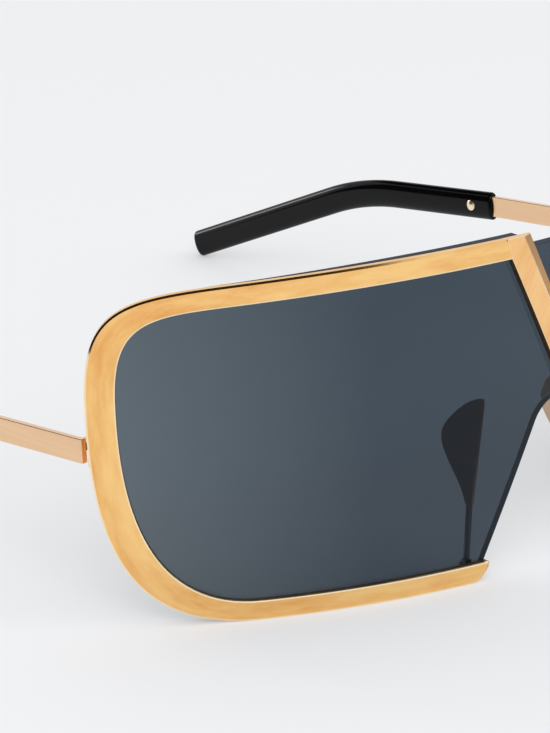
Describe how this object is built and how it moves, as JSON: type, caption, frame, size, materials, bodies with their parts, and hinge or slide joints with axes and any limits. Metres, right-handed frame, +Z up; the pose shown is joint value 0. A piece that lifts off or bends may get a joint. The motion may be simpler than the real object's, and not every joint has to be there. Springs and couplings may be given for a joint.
{
  "type": "mask sunglasses",
  "caption": "Wrapped shield-lens sunglasses with flat metal rims, a chevron bridge, leaf-shaped nose pads and folding temples with bent tips",
  "frame": {"origin": "middle of the footprint, on the surface that the rim bottoms and the tip ends rest on", "axes": "X across, the wearer's right at -X; -Y is the front; Z up"},
  "size_m": [0.1476, 0.171, 0.0527],
  "materials": {
    "gold_plate": "satin gold plating",
    "rose_plate": "pale rose-gold plating",
    "smoke_lens": "clear smoke-grey tint, polished",
    "jet_tip": "polished black acetate"
  },
  "bodies": {
    "front": {"rim_right": "gold_plate", "rim_left": "gold_plate", "bridge": "gold_plate", "shield_lens": "smoke_lens", "lens_screws": "gold_plate", "nose_pad_right": "gold_plate", "nose_pad_left": "gold_plate", "pad_screws": "gold_plate", "end_piece_right": "gold_plate", "end_piece_left": "gold_plate", "hinge_screw_right": "gold_plate", "hinge_screw_left": "gold_plate"},
    "temple_right": {"temple_strip_right": "rose_plate", "temple_hinge_right": "gold_plate", "temple_tip_right": "jet_tip", "tip_rivet_right": "gold_plate"},
    "temple_left": {"temple_strip_left": "rose_plate", "temple_hinge_left": "gold_plate", "temple_tip_left": "jet_tip", "tip_rivet_left": "gold_plate"}
  },
  "joints": [
    {"name": "fold_right", "type": "hinge", "parent": "front", "child": "temple_right", "pos_m": [-0.06887, -0.05361, 0.02731], "axis": [0, -0.0523, -0.9986], "range_deg": [0, 83]},
    {"name": "fold_left", "type": "hinge", "parent": "front", "child": "temple_left", "pos_m": [0.06887, -0.05361, 0.02731], "axis": [0, 0.0523, 0.9986], "range_deg": [0, 89]}
  ]
}
